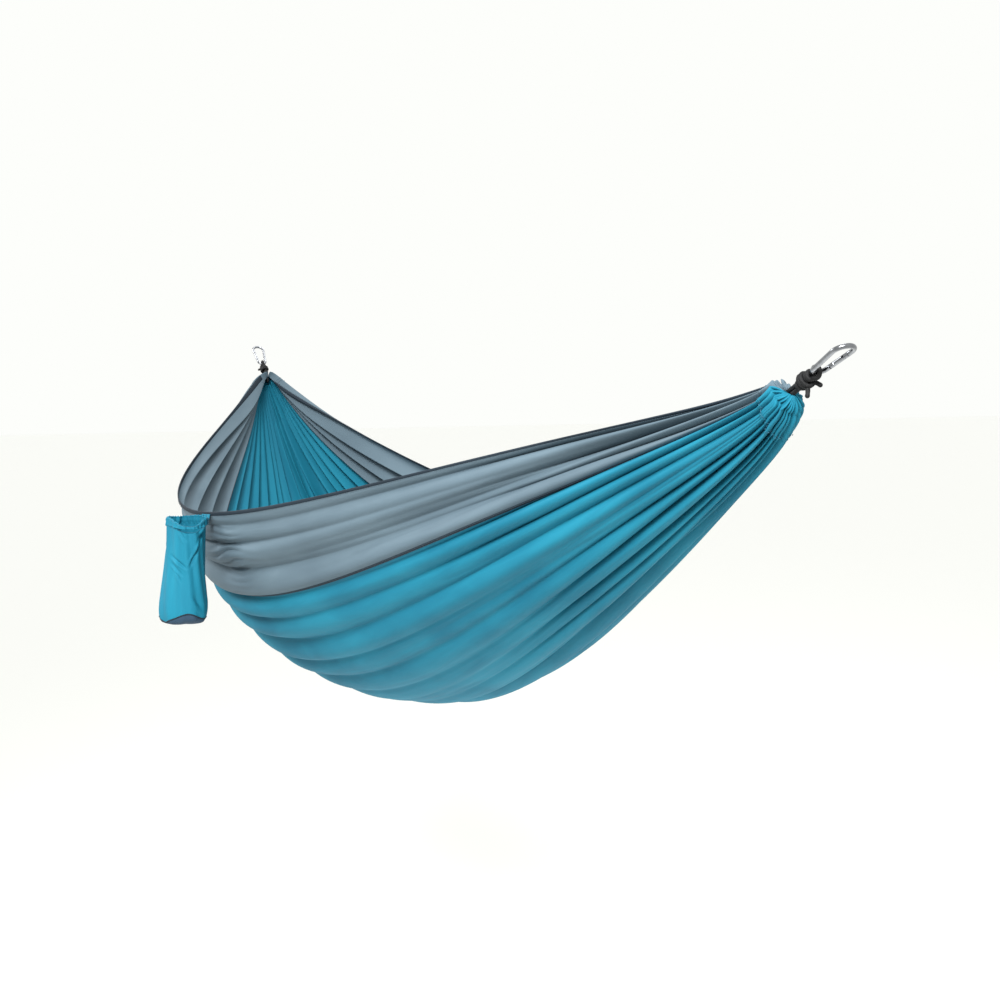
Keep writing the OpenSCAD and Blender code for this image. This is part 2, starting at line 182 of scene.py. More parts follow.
# Each set of folds: how many across the cloth, how far along it reaches from
# its end as a share of the length, its share of the cloth's fullness, its seed.
HEAD_FOLDS = [(22, 0.19, 1.00, 12), (11, 0.36, 0.50, 13)]
FOOT_FOLDS = [(21, 0.24, 3.00, 22), (12, 0.27, 0.34, 23)]
LONG_FOLDS = [(7, 0.05, 31), (15, 0.06, 32), (27, 0.05, 33)]
BUNDLE_DEPTH = 0.0058
SOFT_CREASE = 0.10
SEAM_SINK, SEAM_REACH = 0.0030, 0.011


def fold_wave(x):
    """Folds that are round on the outside of the bed and creased on the inside: the root of sin^2 x plus
    a little."""
    return np.sqrt(np.sin(x) ** 2 + SOFT_CREASE ** 2) * 1.5 - 1.3


def fold_set(t, q, count, seed):
    """count folds across the cloth whose widths and heights wander, with the wave's angle and its
    height."""
    angle = np.pi * count * (q + 1) / 2 + wander(q * 3, seed, 9, 2.8)
    angle = angle + wander(q * 2 + t * 2.5, seed + 50, 4, 0.9)
    height = 0.80 + wander(q * 5, seed + 100, 11, 0.8) + wander(t * 6 + q * 4, seed + 150, 5, 0.25)
    return angle, np.maximum(height, 0.12)


def reach(distance, length):
    """1 at an end, falling smoothly to 0 beyond length."""
    return 1 / (1 + (distance / length) ** 3)


def crumples(t, q):
    """Short creases beside the sack, where its weight pulls at the hem: waves across the cloth, in a
    round patch."""
    patch = np.exp(-((t - 0.585) / 0.035) ** 2 - ((q + 0.87) / 0.075) ** 2)
    angle = q * 290 + 2.2 * np.sin(t * 60 + q * 30) + 1.5 * np.sin(q * 47 - t * 35)
    return 0.0034 * patch * (np.sin(angle) + 0.4 * np.sin(2.3 * angle + 1))


def folds(t, q):
    """How far the folds lift the cloth outward and slide it sideways. The cloth that the bed's width
    doesn't take up is shared among the sets of folds: a set of n folds stands the root of (flat width
    squared less bed width squared) over 2n high, times its share. The finer sets give way to the
    coarser ones away from the ends, and the sets that meet are scaled so that their squares add up.
    Round folds bulge towards the creases between them."""
    width = np.interp(t, T_TABLE, WIDTH_TABLE)
    full = np.sqrt(np.maximum(FLAT_W ** 2 - width ** 2, 0.05))
    out = np.zeros(np.broadcast(t, q).shape)
    side = np.zeros_like(out)
    layers = [(count, share, seed, 1.0) for count, share, seed in LONG_FOLDS]
    for sets, distance in ((HEAD_FOLDS, t), (FOOT_FOLDS, 1 - t)):
        steps = [reach(distance, length) for _, length, _, _ in sets]
        weights = [steps[0]] + [np.maximum(b - a, 0) for a, b in zip(steps, steps[1:])]
        scale = steps[-1] / np.sqrt(sum(w * w for w in weights) + 1e-9)
        layers += [(count, share, seed, w * scale) for (count, _, share, seed), w in zip(sets, weights)]
    for count, share, seed, weight in layers:
        angle, height = fold_set(t, q, count, seed)
        high = weight * share * full / (2 * count) * height
        out = out + high * fold_wave(angle)
        side = side - np.minimum(0.24 * high, 0.12 * width / count) * np.sin(2 * angle)
    edge = np.exp(-((1 - abs(q)) / 0.06) ** 2)
    calm = 1 - 0.85 * edge * (1 - reach(np.minimum(t, 1 - t), 0.05))
    bunch = (1 - 4 * t * (1 - t)) ** 6
    cap = BUNDLE_DEPTH * bunch + 0.040 * (1 - bunch)
    seam = SEAM_SINK * (1 - bunch) * np.exp(-((abs(q) - SEAM_PLACE) / SEAM_REACH) ** 2)
    return cap * np.tanh(out * calm / cap) - seam + crumples(t, q), side * calm * (1 - bunch)


STEP_Q, STEP_T = 0.0008, 0.0004


def pleated(t, q):
    """The bed with its folds: each point of the smooth bed moved along the section's outward normal and
    along its tangent by what the folds say."""
    t, q = np.broadcast_arrays(np.asarray(t, float), np.asarray(q, float))
    base = bed(t, q)
    tangent = bed(t, q + 0.004) - bed(t, q - 0.004)
    tangent[..., 0] = 0
    tangent = unit(tangent)
    normal = np.stack([np.zeros_like(t), tangent[..., 2], -tangent[..., 1]], -1)
    out, side = folds(t, q)
    return base + normal * out[..., None] + tangent * side[..., None]


def cloth(t, q, lift):
    """The pleated bed raised by lift along its own outward normal, from the cross product of its two
    slopes."""
    t, q = np.broadcast_arrays(np.asarray(t, float), np.asarray(q, float))
    across = pleated(t, q + STEP_Q) - pleated(t, q - STEP_Q)
    along = pleated(np.minimum(t + STEP_T, 1), q) - pleated(np.maximum(t - STEP_T, 0), q)
    normal = unit(np.cross(along, across))
    return pleated(t, q) + normal * np.broadcast_to(lift, t.shape)[..., None]


def cloth_uv(t, q):
    """The cloth's own flat coordinates in metres: across it from the sack-side hem, and along it from the
    head."""
    t, q = np.broadcast_arrays(t, q)
    return np.stack([(q + 1) / 2 * FLAT_W, t * FLAT_L], -1)


def stations(count):
    """Places along the bed, closer together towards both ends."""
    return (1 - np.cos(np.linspace(0, np.pi, count))) / 2


# ---------------------------------------------------------------- materials

def linear(code):
    """An sRGB hex colour as linear RGBA."""
    c = np.array([int(code[i:i + 2], 16) for i in (1, 3, 5)]) / 255
    return (*np.where(c <= 0.04045, c / 12.92, ((c + 0.055) / 1.055) ** 2.4), 1.0)


def add_node(tree, kind, settings=None, **inputs):
    """A node with its own settings, and inputs that are values or other nodes' sockets."""
    node = tree.nodes.new(kind)
    for key, value in (settings or {}).items():
        setattr(node, key, value)
    for key, value in inputs.items():
        socket = node.inputs[int(key[1:])] if key[1:].isdigit() else node.inputs[key.replace("_", " ")]
        if isinstance(value, bpy.types.NodeSocket):
            tree.links.new(value, socket)
        else:
            socket.default_value = value
    return node


def new_material(name, **shader):
    """A material with one Principled shader whose plain values are set directly."""
    material = bpy.data.materials.new(name)
    material.use_nodes = True
    tree = material.node_tree
    surface = tree.nodes["Principled BSDF"]
    for key, value in shader.items():
        surface.inputs[key.replace("_", " ")].default_value = value
    return material, tree, surface


WEAVE_SCALE = 83.0


def nylon(name, light, deep):
    """Parachute nylon: a calendered plain weave of 210T nylon taffeta. It gives a soft satin sheen along
    the folds, small crinkles that run with the pull of the cloth, and slightly uneven dye. On top of the dye,
    its colour is painted lighter on the crinkles' crests and darker in their hollows, as painted shade."""
    material, tree, surface = new_material(name, Roughness=0.68, IOR=1.53, Specular_IOR_Level=0.10)
    place = add_node(tree, "ShaderNodeUVMap", {"uv_map": "UVMap"}).outputs["UV"]
    # Threads are 0.12 mm apart. WEAVE_SCALE draws them 2 pi / (20 x 83) = 3.8 mm apart, so that they show.
    stretch = add_node(tree, "ShaderNodeMapping", Vector=place, Scale=(26.0, 3.4, 1.0))
    crinkle = add_node(tree, "ShaderNodeTexNoise", {"noise_dimensions": "2D"}, Vector=stretch.outputs[0],
                       Scale=1.0, Detail=5.0, Roughness=0.55, Distortion=0.4)
    dye = add_node(tree, "ShaderNodeTexNoise", {"noise_dimensions": "2D"},
                   Vector=place, Scale=4.0, Detail=2.0)
    # The colour follows the crinkle noise that also raises the bump, added to the uneven dye: painted shade
    # in the crinkles' hollows and a lighter tone on their crests.
    dye_and_crinkle_shade = add_node(tree, "ShaderNodeMath", {"operation": "ADD"}, _0=crinkle.outputs[0], _1=dye.outputs[0])
    share = add_node(tree, "ShaderNodeMapRange", Value=dye_and_crinkle_shade.outputs[0], From_Min=0.7, From_Max=1.3)
    colour = add_node(tree, "ShaderNodeMix", {"data_type": "RGBA"},
                      _0=share.outputs[0], _6=linear(deep), _7=linear(light))
    tree.links.new(colour.outputs[2], surface.inputs["Base Color"])
    warp = add_node(tree, "ShaderNodeTexWave", {"bands_direction": "X"}, Vector=place, Scale=WEAVE_SCALE)
    weft = add_node(tree, "ShaderNodeTexWave", {"bands_direction": "Y"}, Vector=place, Scale=WEAVE_SCALE)
    weave = add_node(tree, "ShaderNodeMath", {"operation": "MULTIPLY"},
                     _0=warp.outputs["Fac"], _1=weft.outputs["Fac"])
    fine = add_node(tree, "ShaderNodeBump", Height=weave.outputs[0], Strength=0.12, Distance=0.0001)
    bump = add_node(tree, "ShaderNodeBump", Height=crinkle.outputs[0], Strength=0.55, Distance=0.0022,
                    Normal=fine.outputs[0])
    tree.links.new(bump.outputs[0], surface.inputs["Normal"])
    return material


def braid(name, colour):
    """Braided polyester cord: a sheath of sixteen yarns in a diamond plait, matt with a faint filament
    shine."""
    material, tree, surface = new_material(name, Roughness=0.7, IOR=1.55, Specular_IOR_Level=0.25)
    place = add_node(tree, "ShaderNodeUVMap", {"uv_map": "UVMap"}).outputs["UV"]
    fuzz = add_node(tree, "ShaderNodeTexNoise", Vector=place, Scale=900.0, Detail=2.0)
    shade = add_node(tree, "ShaderNodeMix", {"data_type": "RGBA"},
                     _0=fuzz.outputs[0], _6=linear(colour), _7=linear("#121315"))
    tree.links.new(shade.outputs[2], surface.inputs["Base Color"])
    bump = add_node(tree, "ShaderNodeBump", Height=fuzz.outputs[0], Strength=0.3, Distance=0.0003)
    tree.links.new(bump.outputs[0], surface.inputs["Normal"])
    return material


def plated_steel(name, colour, rough):
    """Bright nickel plate on drawn steel rod: a hard mirror with faint draw lines and a few dull rubs."""
    material, tree, surface = new_material(name, Metallic=1.0)
    place = add_node(tree, "ShaderNodeTexCoord").outputs["Object"]
    rubs = add_node(tree, "ShaderNodeTexNoise", Vector=place, Scale=160.0, Detail=4.0)
    gloss = add_node(tree, "ShaderNodeMapRange", Value=rubs.outputs[0], From_Min=0.35, From_Max=0.7,
                     To_Min=rough, To_Max=rough + 0.14)
    tree.links.new(gloss.outputs[0], surface.inputs["Roughness"])
    tint = add_node(tree, "ShaderNodeMix", {"data_type": "RGBA"},
                    _0=rubs.outputs[0], _6=linear(colour), _7=linear("#9a9ca0"))
    tree.links.new(tint.outputs[2], surface.inputs["Base Color"])
    bump = add_node(tree, "ShaderNodeBump", Height=rubs.outputs[0], Strength=0.08, Distance=0.0002)
    tree.links.new(bump.outputs[0], surface.inputs["Normal"])
    return material


def sewing_thread(name, colour):
    """Bonded polyester thread: two plies laid round each other, with a low shine."""
    material, tree, surface = new_material(name, Roughness=0.65, Specular_IOR_Level=0.2)
    place = add_node(tree, "ShaderNodeTexCoord").outputs["Object"]
    plies = add_node(tree, "ShaderNodeTexNoise", Vector=place, Scale=1800.0, Detail=1.0)
    shade = add_node(tree, "ShaderNodeMix", {"data_type": "RGBA"},
                     _0=plies.outputs[0], _6=linear(colour), _7=linear("#41525e"))
    tree.links.new(shade.outputs[2], surface.inputs["Base Color"])
    return material


TURQUOISE = nylon("turquoise_parachute_nylon", "#1d748b", "#156178")
GREY = nylon("grey_parachute_nylon", "#5a6b75", "#4f5f69")
# A darker copy of the grey nylon for the sack's base: painted shade for an underside that faces the floor.
GREY_PAINTED_SHADE = nylon("grey_nylon_painted_shade", "#33475a", "#2b3d4e")
# Dark tape for the seams, the hems and the sack's base binding. On the seams and hems the dark is partly
# their stitch lines and partly painted shade under the overlapping edges.
SEAM_TAPE_AND_PAINTED_SHADE = nylon("dark_seam_tape_and_painted_shade", "#222c35", "#1a232b")
ROPE = braid("black_braided_polyester_cord", "#070808")
NICKEL = plated_steel("bright_nickel_plated_steel", "#63666a", 0.13)
PIN_STEEL = plated_steel("plain_pin_steel", "#8e9094", 0.28)
THREAD_GREY = sewing_thread("grey_bonded_polyester_thread", "#3d4750")
THREAD_BLUE = sewing_thread("turquoise_bonded_polyester_thread", "#0a6079")


def finish_piece(piece, body, material, slot, *nodes):
    """Gives a piece its material and its body, and hides the solid nodes that it stands for. Its slot is not
    used.
    """
    piece.data.materials.clear()
    piece.data.materials.append(material)
    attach(piece, body)
    if nodes:
        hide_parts(*nodes)
    return piece


# ---------------------------------------------------------------- camera, light and floor

def placed(x_way, y_way, z_way, place):
    """The matrix that puts something at a place with its three axes along three unit vectors."""
    rows = zip(np.stack([x_way, y_way, z_way], 1), place)
    return Matrix([[*row, p] for row, p in rows] + [[0, 0, 0, 1]])


def make_stage():
    """The camera, a wide pale floor, and soft studio light."""
    camera = bpy.data.objects.new("camera", bpy.data.cameras.new("camera"))
    bpy.context.scene.collection.objects.link(camera)
    bpy.context.scene.camera = camera
    camera.data.sensor_width = 36.0
    camera.data.lens = 50.9
    camera.data.clip_start = 0.02
    turn, tip = 1.1314, 0.0938
    forward = np.array([-np.sin(turn) * np.cos(tip), np.cos(turn) * np.cos(tip), -np.sin(tip)])
    right = np.array([np.cos(turn), np.sin(turn), 0.0])
    up = np.cross(right, forward)
    eye = HEAD_END + CHORD * np.array([0.6207, -0.4608, 0.0155])
    camera.matrix_world = placed(right, up, -forward, eye)

    bpy.ops.mesh.primitive_plane_add(size=80, location=(0, 0, -1.9))
    floor = bpy.context.object
    floor.name = "floor"
    pale, _, _ = new_material("white_paper_floor", Base_Color=linear("#fdfdfb"), Roughness=0.9)
    floor.data.materials.append(pale)
    bpy.context.scene.view_settings.view_transform = "Standard"

    world = bpy.data.worlds.new("studio")
    bpy.context.scene.world = world
    world.use_nodes = True
    world.node_tree.nodes["Background"].inputs["Color"].default_value = linear("#fdfefb")
    world.node_tree.nodes["Background"].inputs["Strength"].default_value = 1.0

    for name, place, aim, size, power in (
        ("key", (2.1, -2.1, 2.1), (-0.7, 0.0, -0.4), 1.8, 42.0),
        ("fill", (-3.6, -2.4, 1.6), (-1.4, 0.0, -0.4), 1.2, 11.0),
        ("top", (-3.2, 1.6, 3.2), (-1.8, 0.0, -0.3), 2.0, 12.0),
    ):
        lamp = bpy.data.objects.new(name, bpy.data.lights.new(name, "AREA"))
        bpy.context.scene.collection.objects.link(lamp)
        lamp.data.size = size
        lamp.data.spread = np.radians(50)
        lamp.data.energy = power
        back = unit(np.array(place) - np.array(aim))
        side = unit(np.cross((0.0, 0.0, 1.0), back))
        rise = np.cross(back, side)
        lamp.matrix_world = placed(side, rise, back, place)


make_stage()

# ---------------------------------------------------------------- cloth panels

CLOTH_WALL = 0.0004


def make_panel(name, q0, q1, rows, columns, material, slot):
    """One panel of the bed, from q0 to q1: the pleated surface on a grid, with a wall of cloth. It
    carries on a little way under both end sleeves."""
    t = 0.75 * SLEEVE_END + (1 - 1.5 * SLEEVE_END) * stations(rows)[:, None]
    q = np.linspace(q0, q1, columns)[None, :]
    piece = grid_piece(name + "_cloth", pleated(t, q), cloth_uv(t, q))
    give_wall(piece, CLOTH_WALL)
    return finish_piece(piece, "cloth", material, slot, name)


centre_panel = make_panel("centre_panel", -SEAM_PLACE, SEAM_PLACE, 150, 320, TURQUOISE, "turquoise_nylon")
sack_side_panel = make_panel("sack_side_panel", -1.0, -SEAM_PLACE, 230, 90, GREY, "grey_nylon")
plain_side_panel = make_panel("plain_side_panel", SEAM_PLACE, 1.0, 150, 80, GREY, "grey_nylon")


# ---------------------------------------------------------------- seams, hems and their stitches

def along_cloth(t0, t1, q, lift, pitch):
    """Places pitch apart along a line of constant q on the cloth: the middles, the way along and the way
    out."""
    t = np.linspace(t0, t1, 2600)
    line = cloth(t, np.full_like(t, q), lift)
    run = np.concatenate([[0], np.cumsum(np.linalg.norm(np.diff(line, axis=0), axis=1))])
    places = np.interp(np.arange(pitch, run[-1] - pitch, pitch), run, t)
    side = np.full_like(places, q)
    middle = cloth(places, side, lift)
    return middle, unit(np.gradient(middle, axis=0)), unit(middle - pleated(places, side))


def across_cloth(t, q0, q1, lift, pitch):
    """The same along a line of constant t, from q0 to q1."""
    q = np.linspace(q0, q1, 6000)
    line = cloth(np.full_like(q, t), q, lift)
    run = np.concatenate([[0], np.cumsum(np.linalg.norm(np.diff(line, axis=0), axis=1))])
    places = np.interp(np.arange(pitch, run[-1] - pitch, pitch), run, q)
    row = np.full_like(places, t)
    middle = cloth(row, places, lift)
    return middle, unit(np.gradient(middle, axis=0)), unit(middle - pleated(row, places))


def stitches(name, rows, length, width, body, material, node=None):
    """Machine stitches: on each place of each row a flattened spindle of twelve faces, length long and
    width thick, half sunk into the cloth. rows is a list of (middles, ways along, ways out)."""
    middle, along, out = (np.concatenate([row[k] for row in rows]) for k in range(3))
    side = unit(np.cross(out, along))
    out = np.cross(along, side)
    ring = np.array([[0, 1], [1, 0], [0, -1], [-1, 0]]) * width / 2
    shape = np.concatenate([[[-length / 2, 0, 0]], np.insert(ring, 0, -length * 0.28, axis=1),
                            np.insert(ring, 0, length * 0.28, axis=1), [[length / 2, 0, 0]]])
    frames = np.stack([along, side, out], 1)
    verts = middle[:, None, :] + np.einsum("vk,nkc->nvc", shape, frames)
    faces = [[0, 1 + k, 1 + (k + 1) % 4] for k in range(4)] + [[9, 5 + (k + 1) % 4, 5 + k] for k in range(4)]
    quads = [[1 + k, 5 + k, 5 + (k + 1) % 4, 1 + (k + 1) % 4] for k in range(4)]
    start = 10 * np.arange(len(middle))[:, None, None]
    listed = (np.array(faces) + start).reshape(-1, 3).tolist()
    listed += (np.array(quads) + start).reshape(-1, 4).tolist()
    piece = mesh_piece(name, verts.reshape(-1, 3), listed)
    finish_piece(piece, body, material, "thread", *([node] if node else []))
    return piece


def strip(name, q_mid, half, lifts, rows, material, slot, node):
    """A closed band of cloth along the bed at q_mid: a flat oval section, half wide either way and
    lifts[0] to lifts[1] off the cloth, carried from end to end."""
    t = 0.8 * SLEEVE_END + (1 - 1.6 * SLEEVE_END) * stations(rows)[:, None]
    turn = np.linspace(0, 2 * np.pi, 12, endpoint=False)[None, :]
    middle, high = (lifts[0] + lifts[1]) / 2, (lifts[1] - lifts[0]) / 2
    flat = np.sign(np.cos(turn)) * abs(np.cos(turn)) ** 0.6
    lift = middle + high * np.sign(np.sin(turn)) * abs(np.sin(turn)) ** 0.6
    q = q_mid + half * flat
    piece = grid_piece(name + "_tape", cloth(t, q, lift), cloth_uv(t, q + 0 * t),
                       round_cols=True, poles=2, flip=True)
    return finish_piece(piece, "cloth", material, slot, node)


# The seam and hem tapes are painted dark: partly their dark stitch lines, partly painted shade under the
# folded edges where the panels overlap.
for name, q in (("sack_side_seam", -SEAM_PLACE), ("plain_side_seam", SEAM_PLACE)):
    strip(name, q, 0.0042, (-0.0003, 0.0011), 260, SEAM_TAPE_AND_PAINTED_SHADE, "grey_nylon", name)
    stitches(name + "_stitches",
             [along_cloth(0.006, 0.994, q + d, 0.0012, 0.0042) for d in (-0.0026, 0.0026)],
             0.0032, 0.0007, "cloth", THREAD_GREY)
for name, q in (("sack_side_hem", -1), ("plain_side_hem", 1)):
    strip(name, q * 1.003, 0.0058, (-0.0014, 0.0014), 260, SEAM_TAPE_AND_PAINTED_SHADE, "grey_nylon", name)
    stitches(name + "_stitches", [along_cloth(0.006, 0.994, q * 0.9965, 0.0015, 0.0042)],
             0.0032, 0.0007, "cloth", THREAD_GREY)


# ---------------------------------------------------------------- gathered ends

def sleeve_surface(end, step, q):
    """The bunched channel at one end. step runs from -1 at its inner edge to 0 at the bed's end along the
    pleated surface, and on to 1 as the ring rolls over and puckers in to the rope: its radius shrinks
    and it stands a little proud, and its ruffles push out along the bed by turns. Its mouth is square
    to the rope, so its top is drawn back."""
    step, q = np.broadcast_arrays(step, q)
    walk = np.minimum(step, 0)
    near = -walk * SLEEVE_END * 1.15
    t = near if end > 0 else 1 - near
    base = cloth(t, q, 0.0006 + 0.0005 * np.sin(np.pi * np.clip(-step, 0, 1)))
    tip = HEAD_END if end > 0 else FOOT_END
    roll = np.clip(step, 0, 1)
    angle, _ = fold_set(np.where(t < 0.5, 0.0, 1.0), q, HEAD_FOLDS[0][0] if end > 0 else FOOT_FOLDS[0][0],
                        HEAD_FOLDS[0][3] if end > 0 else FOOT_FOLDS[0][3])
    ruffle = np.sin(angle) ** 2
    high = np.clip((base[..., 2] - tip[2]) / 0.03, 0, 1)
    shrink = 1 - 0.80 * roll ** 1.6 - 0.16 * high * np.clip((step + 0.7) / 1.2, 0, 1) * (1 - roll)
    smooth = 1 - 0.8 * np.clip((abs(q) - SEAM_PLACE) / 0.05, 0, 1)
    proud = 0.0075 * np.sin(roll * np.pi * 0.72) * (0.4 + 0.6 * smooth)
    proud = proud + 0.0014 * smooth * (ruffle - 0.5) * np.sin(np.pi * np.clip(step + 0.35, 0, 1))
    out = base.copy()
    out[..., 1] = tip[1] + (base[..., 1] - tip[1]) * shrink
    out[..., 2] = tip[2] + (base[..., 2] - tip[2]) * shrink + 0.004 * roll
    tilt = 0.62 * np.clip((step + 0.6) / 0.6, 0, 1) * np.clip(base[..., 2] - tip[2], -0.012, 0.03)
    out[..., 0] = base[..., 0] + end * (proud - tilt)
    return out


def make_sleeve(label, end):
    """One end's sleeve in three pieces, the folded ends of the three panels, with its ring of
    stitches."""
    pieces = []
    step = np.linspace(-1, 1, 46)[:, None]
    for part, q0, q1, columns, material, slot in (
        ("middle", -SEAM_PLACE, SEAM_PLACE, 460, TURQUOISE, "turquoise_nylon"),
        ("sack_side", -1.0, -SEAM_PLACE, 120, GREY, "grey_nylon"),
        ("plain_side", SEAM_PLACE, 1.0, 120, GREY, "grey_nylon"),
    ):
        q = np.linspace(q0, q1, columns)[None, :]
        points = sleeve_surface(end, step, q)
        uv = cloth_uv(step * 0.012 + 0 * q, q + 0 * step)
        piece = grid_piece(f"{label}_sleeve_{part}", points, uv, flip=end > 0)
        give_wall(piece, 0.0005)
        pieces.append(finish_piece(piece, "cloth", material, slot, f"{label}_sleeve"))
    near = SLEEVE_END * 0.95
    stitches(f"{label}_sleeve_thread",
             [across_cloth(near if end > 0 else 1 - near, -1.0, 1.0, 0.0022, 0.0042)],
             0.0032, 0.0008, "cloth", THREAD_BLUE, f"{label}_sleeve_stitching")
    return pieces


# Each panel is one cut, as long as the flat cloth, and its two ends are folded over to make the sleeves.
SIDE_W = FLAT_W * (1 - SEAM_PLACE) / 2
for panel, width, ends in zip((centre_panel, sack_side_panel, plain_side_panel),
                              (FLAT_W * SEAM_PLACE, SIDE_W, SIDE_W),
                              zip(make_sleeve("head", 1), make_sleeve("foot", -1))):
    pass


# ---------------------------------------------------------------- ropes and knots

def at_end(label, points):
    """Points given along the pull of one end's rope, put in the row's frame."""
    x, y, z = points[..., 0], points[..., 1], points[..., 2]
    rise, tip, way = (HEAD_RISE, HEAD_END, 1) if label == "head" else (FOOT_RISE, FOOT_END, -1)
    return tip + np.stack([way * (x * np.cos(rise) - z * np.sin(rise)), way * y,
                           x * np.sin(rise) + z * np.cos(rise)], -1)


def smooth_path(corners, step=0.0006, soften=0.003):
    """A path of even steps through corners, rounded by a moving average soften long that leaves its ends
    alone."""
    corners = np.asarray(corners, float)
    run = np.concatenate([[0], np.cumsum(np.linalg.norm(np.diff(corners, axis=0), axis=1))])
    s = np.linspace(0, run[-1], max(int(run[-1] / step), 8))
    path = np.stack([np.interp(s, run, corners[:, k]) for k in range(3)], -1)
    half = max(int(soften / step / 2), 1)
    for _ in range(3):
        start = 2 * path[0] - path[half:0:-1]
        end = 2 * path[-1] - path[-2:-half - 2:-1]
        padded = np.concatenate([start, path, end])
        total = np.cumsum(np.concatenate([np.zeros((1, 3)), padded]), axis=0)
        path = (total[2 * half + 1:] - total[:-2 * half - 1]) / (2 * half + 1)
    return path


def rope_points(path, radius, around, aim):
    """A braided rope round a path: a tube whose radius rises over two crossing sets of yarns, with
    rounded ends. aim is a direction, or one for each point, that the path never runs along."""
    tangent = unit(np.gradient(path, axis=0))
    side = unit(np.cross(tangent, aim))
    rise = np.cross(side, tangent)
    run = np.concatenate([[0], np.cumsum(np.linalg.norm(np.diff(path, axis=0), axis=1))])
    turn = np.linspace(0, 2 * np.pi, around, endpoint=False)[None, :]
    yarn = 2 * np.pi * run[:, None] / 0.0085
    relief = np.maximum(np.sin(4 * turn + yarn), np.sin(4 * turn - yarn))
    near_end = np.minimum(run, run[-1] - run)[:, None] / radius
    cap = np.sqrt(np.clip(1 - (1 - np.clip(near_end, 0.02, 1)) ** 2, 0, 1))
    r = radius * (1 + 0.055 * (relief - 0.6)) * cap
    ring = np.cos(turn)[..., None] * side[:, None] + np.sin(turn)[..., None] * rise[:, None]
    points = path[:, None] + r[..., None] * ring
    uv = np.stack([np.broadcast_to(turn * radius, r.shape), np.broadcast_to(run[:, None], r.shape)], -1)
    return points, uv


def join_pieces(name, pieces):
    """Several pieces made into one object."""
    bpy.ops.object.select_all(action="DESELECT")
    for piece in pieces:
        piece.select_set(True)
    bpy.context.view_layer.objects.active = pieces[0]
    if len(pieces) > 1:
        bpy.ops.object.join()
    pieces[0].name = name
    return pieces[0]


def rope_piece(name, label, path, aim, around=28):
    """One length of rope along a path that is given along the pull of its end."""
    points, uv = rope_points(at_end(label, path), ROPE_R, around, at_end(label, aim) - at_end(label, 0 * aim))
    return grid_piece(name, points, uv, round_cols=True, poles=2)


def make_rope(label):
    """One end's rope: a loop through the sleeve whose two strands run up into the knot, a bight from the
    knot round the carabiner, and the knot itself, the doubled rope wound three times round and drawn
    tight with two tails."""
    arc = np.linspace(-np.pi / 2, np.pi / 2, 24)
    turn = np.stack([-0.001 - 0.00295 * np.cos(arc), 0 * arc, 0.00295 * np.sin(arc)], -1)
    loop = np.concatenate([[[NECK_L + 0.006, 0, -0.00295]], turn, [[NECK_L + 0.006, 0, 0.00295]]])
    sway = np.array([0.0, 1.0, 0.0])
    neck = rope_piece(f"{label}_neck", label, smooth_path(loop, soften=0.0012), sway)
    arc = np.radians(np.linspace(138, -138, 40))
    ring = np.stack([BIGHT_S + 0.00655 * np.cos(arc), 0 * arc, 0.00655 * np.sin(arc)], -1)
    inner = NECK_L + KNOT_L - 0.010
    bight = np.concatenate([[[inner, 0.001, 0.0030]], ring, [[inner, -0.001, -0.0030]]])
    bight = rope_piece(f"{label}_bight", label, smooth_path(bight, soften=0.0022), sway)
    rope = join_pieces(f"{label}_rope_braid", [neck, bight])
    finish_piece(rope, "cloth", ROPE, "black_rope", f"{label}_rope")

    wind = np.linspace(0, 1, 190)
    pieces = []
    for strand in (0, 1):
        angle = 2 * np.pi * 2.6 * wind + 0.9 + 0.5 * strand
        r = 0.0026 + 0.0054 * np.sin(np.pi * wind) ** 0.8 + 0.0006 * np.sin(angle * 2.3 + strand)
        x = NECK_L + 0.0025 + 0.0200 * wind + 0.0047 * strand + 0.0016 * np.sin(angle + 0.8)
        path = np.stack([x, r * np.cos(angle), r * np.sin(angle)], -1)
        aim = np.array([1.0, 0.0, 0.0])
        pieces.append(rope_piece(f"{label}_turns_{strand}", label, smooth_path(path), aim))
    for tail, way in enumerate(((0.0, -0.17, -0.985), (0.612, 0.5, -0.612))):
        along = np.linspace(0, 0.0215, 6)[:, None]
        bend = 0.0028 * np.sin(along / 0.0215 * np.pi) * np.array([[1.0, 0.3, 0.2]])
        path = np.array([[NECK_L + KNOT_L / 2 - 0.003, 0, 0]]) + along * np.array(way) + bend
        pieces.append(rope_piece(f"{label}_tail_{tail}", label, smooth_path(path), np.array([0.3, 1.0, 0.6])))
    knot = join_pieces(f"{label}_knot_turns", pieces)
    finish_piece(knot, "cloth", ROPE, "black_rope", f"{label}_knot")


make_rope("head")
make_rope("foot")


# ---------------------------------------------------------------- the stuff sack

SACK = bed(np.array(SACK_PLACE), np.array(-1.0)) - np.array([0.0, SACK_CLEAR, 0.0])
MOUTH_H = 0.018
ROUND_SACK = 0.060  # metres of cloth to one radian round the sack
ROUND_CREASE = 0.052  # the same where the creases lie, higher up


def mouth_dip(angle):
    """How far the mouth's rim sags at each angle: most at the end that faces the head, a little at the
    far end."""
    return -0.0150 * np.maximum(np.cos(angle + 0.1), 0) ** 2 - 0.004 * np.maximum(-np.cos(angle), 0) ** 2


def base_line(angle):
    """The height of the base's seam: low all round, and pulled up in a peak at the end that faces the
    head."""
    turned = (angle + 0.12 + np.pi) % (2 * np.pi) - np.pi
    peak = np.exp(-(turned / 0.62) ** 2)
    dip = np.exp(-((turned + 1.05) / 0.22) ** 2)
    return -SACK_H + 0.010 + 0.0150 * peak - 0.004 * dip


